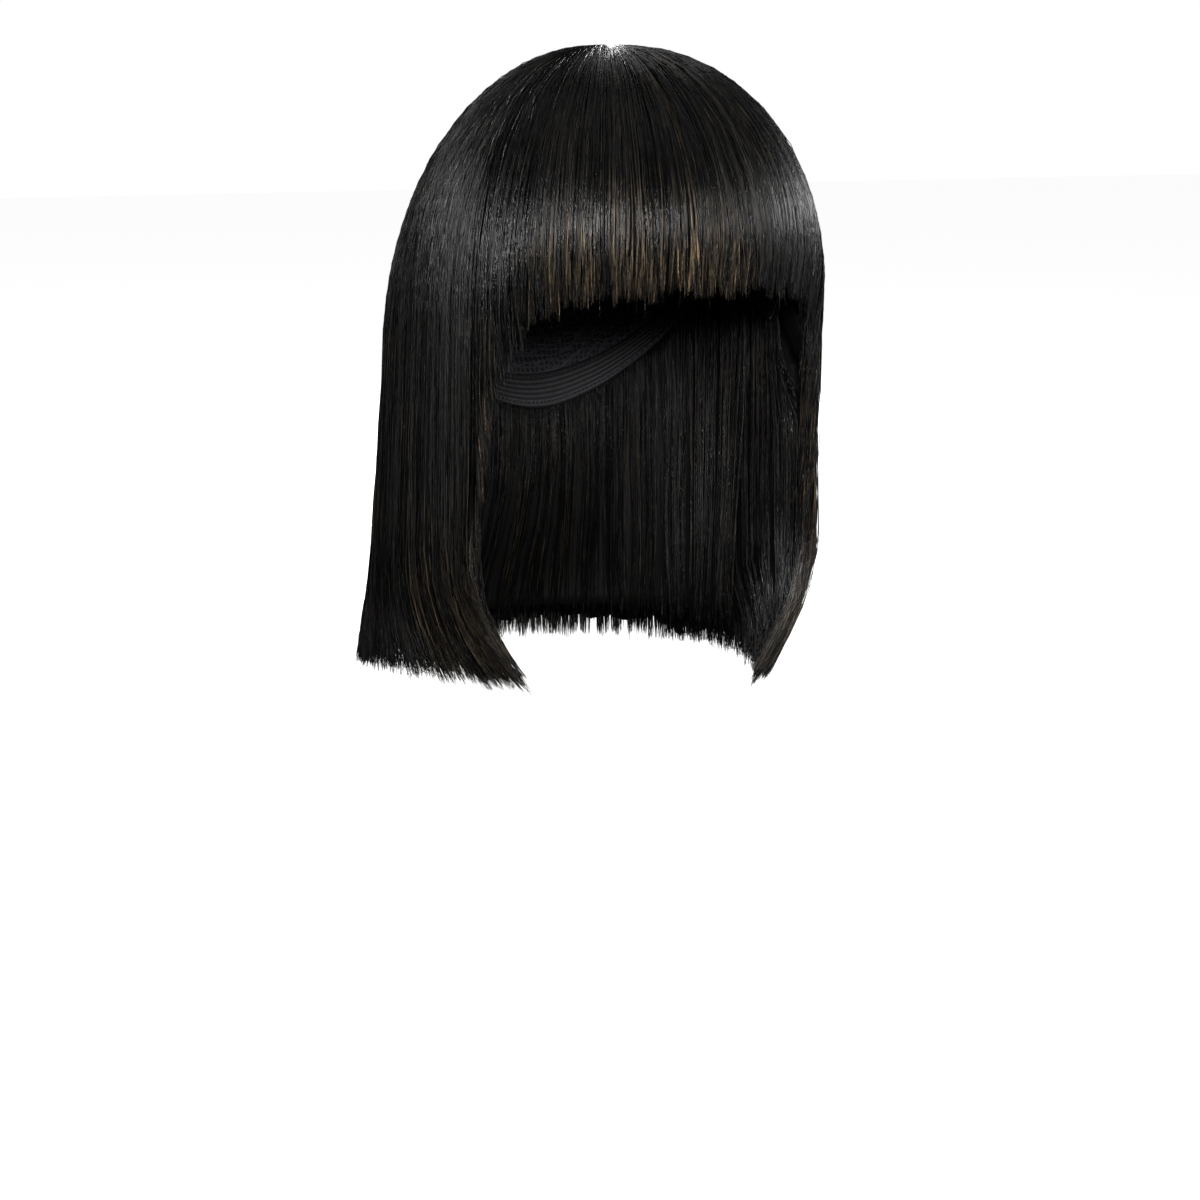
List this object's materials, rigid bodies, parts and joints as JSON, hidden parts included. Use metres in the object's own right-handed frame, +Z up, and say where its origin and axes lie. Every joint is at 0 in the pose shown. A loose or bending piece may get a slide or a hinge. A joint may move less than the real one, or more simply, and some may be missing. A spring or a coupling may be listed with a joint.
{
  "type": "bob wig with a full fringe",
  "caption": "Shoulder-length bob wig of straight black hair with a full fringe, on a thin hollow cap, in its worn form.",
  "frame": {"origin": "where the top of the head touches the inside of the cap", "axes": "+Z up, -Y the way that the wearer faces, +X the wearer's left"},
  "size_m": [0.2038, 0.2268, 0.2977],
  "materials": {
    "hair": "straight human hair, natural black with a soft sheen",
    "cap_net": "black stretch netting, matt"
  },
  "bodies": {
    "root": {"cap": "cap_net", "crown_patch": "cap_net", "fringe": "hair", "left_side_hair": "hair", "back_hair": "hair", "right_side_hair": "hair", "under_hair": "hair"}
  },
  "joints": []
}
